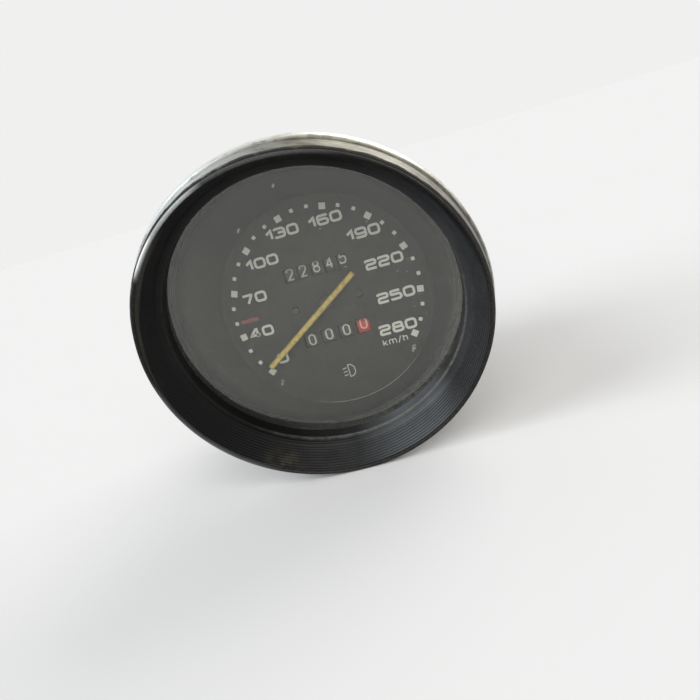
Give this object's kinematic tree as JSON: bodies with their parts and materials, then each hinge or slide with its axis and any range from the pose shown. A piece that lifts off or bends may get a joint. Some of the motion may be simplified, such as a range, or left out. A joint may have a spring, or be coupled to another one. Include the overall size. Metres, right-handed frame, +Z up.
{
  "type": "odometer",
  "caption": "Round car speedometer with total and trip drum odometers, a swinging pointer, flat glass in a leaning ribbed hood, and a straight steel can.",
  "frame": {"origin": "centre of the can's mouth, where the collar's flange meets the can", "axes": "+Y runs into the instrument along the can's axis, +X is to the right seen from the front, +Z is up"},
  "size_m": [0.1194, 0.1559, 0.1168],
  "materials": {
    "can_steel": "satin zinc-plated sheet",
    "collar_plastic": "moulded, fine texture",
    "hood_plastic": "moulded, satin ribs",
    "band_metal": "brushed, stained and worn",
    "glass": "clear and polished",
    "rubber": "soft black",
    "baffle_black": "matt",
    "dial_black": "matt black paint with fine grain",
    "screw_black": "blackened",
    "guide_clear": "clear, slightly blue",
    "pointer_yellow": "yellow paint",
    "boss_black": "matt",
    "spindle_steel": "ground",
    "magnet": "sintered",
    "brass": "turned",
    "frame_steel": "zinc-plated sheet",
    "drum_black": "matt moulding",
    "drum_red": "matt moulding",
    "nylon": "natural moulding",
    "motor_steel": "drawn can",
    "copper": "lacquered winding",
    "board_green": "lacquered laminate",
    "board_black": "moulded packages",
    "plated_steel": "yellow zinc",
    "holder_black": "moulded",
    "lamp_glass": "clear bulb",
    "blade_tin": "tinned"
  },
  "bodies": {
    "case": {"can": "can_steel", "wedge_collar": "collar_plastic", "hood_bezel": "hood_plastic", "trim_band": "band_metal", "glass": "glass", "glass_gasket": "rubber", "light_baffle": "baffle_black", "dial": "dial_black", "dial_screws": "screw_black", "beam_light_guide": "guide_clear", "front_bridge": "frame_steel", "front_bush": "brass", "left_plate": "frame_steel", "right_plate": "frame_steel", "base_plate": "frame_steel", "pinion_shafts": "spindle_steel", "motor": "motor_steel", "movement_housing": "frame_steel", "movement_coils": "copper", "rear_bearing": "brass", "circuit_board": "board_green", "board_parts": "board_black", "pillars": "frame_steel", "pillar_screws": "plated_steel", "studs": "plated_steel", "stud_nuts": "plated_steel", "lamp_holders": "holder_black", "lamps": "lamp_glass", "terminal_block": "holder_black", "terminals": "blade_tin"},
    "needle": {"pointer": "pointer_yellow", "pointer_boss": "boss_black", "pointer_spindle": "spindle_steel", "rotor_magnet": "magnet", "hairspring": "brass"},
    "trip_tenths": {"trip_drum_4": "drum_red", "trip_gear": "nylon"},
    "total_units": {"total_drum_5": "drum_black", "total_gear": "nylon", "total_spindle": "spindle_steel"},
    "idler": {"idler_gear": "nylon"},
    "motor_rotor": {"motor_pinion": "brass"},
    "reset": {"reset_shaft": "nylon", "reset_knob": "holder_black"},
    "trip_reset_spindle": {"trip_spindle": "spindle_steel", "trip_bevel": "nylon"},
    "total_1": {"total_drum_1": "drum_black"},
    "total_carry_1": {"total_pinion_1": "nylon"},
    "total_2": {"total_drum_2": "drum_black"},
    "total_carry_2": {"total_pinion_2": "nylon"},
    "total_3": {"total_drum_3": "drum_black"},
    "total_carry_3": {"total_pinion_3": "nylon"},
    "total_4": {"total_drum_4": "drum_black"},
    "total_carry_4": {"total_pinion_4": "nylon"},
    "trip_1": {"trip_drum_1": "drum_black"},
    "trip_carry_1": {"trip_pinion_1": "nylon"},
    "trip_2": {"trip_drum_2": "drum_black"},
    "trip_carry_2": {"trip_pinion_2": "nylon"},
    "trip_3": {"trip_drum_3": "drum_black"},
    "trip_carry_3": {"trip_pinion_3": "nylon"}
  },
  "joints": [
    {"name": "pointer_swing", "type": "hinge", "parent": "case", "child": "needle", "pos_m": [0, 0.0034, 0], "axis": [0, 1, 0], "range_deg": [0, 251], "stiffness_Nm_per_rad": 0.00005, "springref_deg": -11.46},
    {"name": "trip_tenths_turn", "type": "hinge", "parent": "case", "child": "trip_tenths", "pos_m": [0.01013, 0.0186, -0.01325], "axis": [-1, 0, 0], "continuous": true},
    {"name": "idler_turn", "type": "hinge", "parent": "case", "child": "idler", "pos_m": [0.02, 0.02239, 0.00168], "axis": [-1, 0, 0], "continuous": true},
    {"name": "motor_turn", "type": "hinge", "parent": "case", "child": "motor_rotor", "pos_m": [0.02, 0.03614, 0.00168], "axis": [-1, 0, 0], "continuous": true},
    {"name": "total_units_turn", "type": "hinge", "parent": "case", "child": "total_units", "pos_m": [0.0096, 0.0186, 0.012], "axis": [-1, 0, 0], "continuous": true},
    {"name": "total_4_turn", "type": "hinge", "parent": "case", "child": "total_4", "pos_m": [0.0045, 0.0186, 0.012], "axis": [-1, 0, 0], "continuous": true},
    {"name": "total_carry_4_turn", "type": "hinge", "parent": "case", "child": "total_carry_4", "pos_m": [0.0069, 0.0298, 0.012], "axis": [-1, 0, 0], "continuous": true},
    {"name": "total_3_turn", "type": "hinge", "parent": "case", "child": "total_3", "pos_m": [-0.0006, 0.0186, 0.012], "axis": [-1, 0, 0], "continuous": true},
    {"name": "total_carry_3_turn", "type": "hinge", "parent": "case", "child": "total_carry_3", "pos_m": [0.0018, 0.0298, 0.012], "axis": [-1, 0, 0], "continuous": true},
    {"name": "total_2_turn", "type": "hinge", "parent": "case", "child": "total_2", "pos_m": [-0.0057, 0.0186, 0.012], "axis": [-1, 0, 0], "continuous": true},
    {"name": "total_carry_2_turn", "type": "hinge", "parent": "case", "child": "total_carry_2", "pos_m": [-0.0033, 0.0298, 0.012], "axis": [-1, 0, 0], "continuous": true},
    {"name": "total_1_turn", "type": "hinge", "parent": "case", "child": "total_1", "pos_m": [-0.0108, 0.0186, 0.012], "axis": [-1, 0, 0], "continuous": true},
    {"name": "total_carry_1_turn", "type": "hinge", "parent": "case", "child": "total_carry_1", "pos_m": [-0.0084, 0.0298, 0.012], "axis": [-1, 0, 0], "continuous": true},
    {"name": "trip_3_turn", "type": "hinge", "parent": "case", "child": "trip_3", "pos_m": [0.00337, 0.0186, -0.01325], "axis": [-1, 0, 0], "continuous": true},
    {"name": "trip_carry_3_turn", "type": "hinge", "parent": "case", "child": "trip_carry_3", "pos_m": [0.00647, 0.0298, -0.01325], "axis": [-1, 0, 0], "continuous": true},
    {"name": "trip_2_turn", "type": "hinge", "parent": "case", "child": "trip_2", "pos_m": [-0.00337, 0.0186, -0.01325], "axis": [-1, 0, 0], "continuous": true},
    {"name": "trip_carry_2_turn", "type": "hinge", "parent": "case", "child": "trip_carry_2", "pos_m": [-0.00028, 0.0298, -0.01325], "axis": [-1, 0, 0], "continuous": true},
    {"name": "trip_1_turn", "type": "hinge", "parent": "case", "child": "trip_1", "pos_m": [-0.01013, 0.0186, -0.01325], "axis": [-1, 0, 0], "continuous": true},
    {"name": "trip_carry_1_turn", "type": "hinge", "parent": "case", "child": "trip_carry_1", "pos_m": [-0.00702, 0.0298, -0.01325], "axis": [-1, 0, 0], "continuous": true},
    {"name": "reset_turn", "type": "hinge", "parent": "case", "child": "reset", "pos_m": [-0.0209, 0.09, -0.01325], "axis": [0, 1, 0], "continuous": true},
    {"name": "trip_spindle_turn", "type": "hinge", "parent": "case", "child": "trip_reset_spindle", "pos_m": [-0.018, 0.0186, -0.01325], "axis": [1, 0, 0], "continuous": true}
  ],
  "couplings": [
    {"joint": "idler_turn", "follows": "trip_tenths_turn", "ratio": -0.4},
    {"joint": "motor_turn", "follows": "trip_tenths_turn", "ratio": 1.6},
    {"joint": "total_units_turn", "follows": "trip_tenths_turn", "ratio": 0.1},
    {"joint": "total_4_turn", "follows": "trip_tenths_turn", "ratio": 0.01},
    {"joint": "total_carry_4_turn", "follows": "trip_tenths_turn", "ratio": -0.025},
    {"joint": "total_3_turn", "follows": "trip_tenths_turn", "ratio": 0.001},
    {"joint": "total_carry_3_turn", "follows": "trip_tenths_turn", "ratio": -0.0025},
    {"joint": "total_2_turn", "follows": "trip_tenths_turn", "ratio": 0.0001},
    {"joint": "total_carry_2_turn", "follows": "trip_tenths_turn", "ratio": -0.00025},
    {"joint": "total_1_turn", "follows": "trip_tenths_turn", "ratio": 0.00001},
    {"joint": "total_carry_1_turn", "follows": "trip_tenths_turn", "ratio": -0.000025},
    {"joint": "trip_3_turn", "follows": "trip_tenths_turn", "ratio": 0.1},
    {"joint": "trip_carry_3_turn", "follows": "trip_tenths_turn", "ratio": -0.25},
    {"joint": "trip_2_turn", "follows": "trip_tenths_turn", "ratio": 0.01},
    {"joint": "trip_carry_2_turn", "follows": "trip_tenths_turn", "ratio": -0.025},
    {"joint": "trip_1_turn", "follows": "trip_tenths_turn", "ratio": 0.001},
    {"joint": "trip_carry_1_turn", "follows": "trip_tenths_turn", "ratio": -0.0025},
    {"joint": "trip_spindle_turn", "follows": "reset_turn", "ratio": -1}
  ]
}
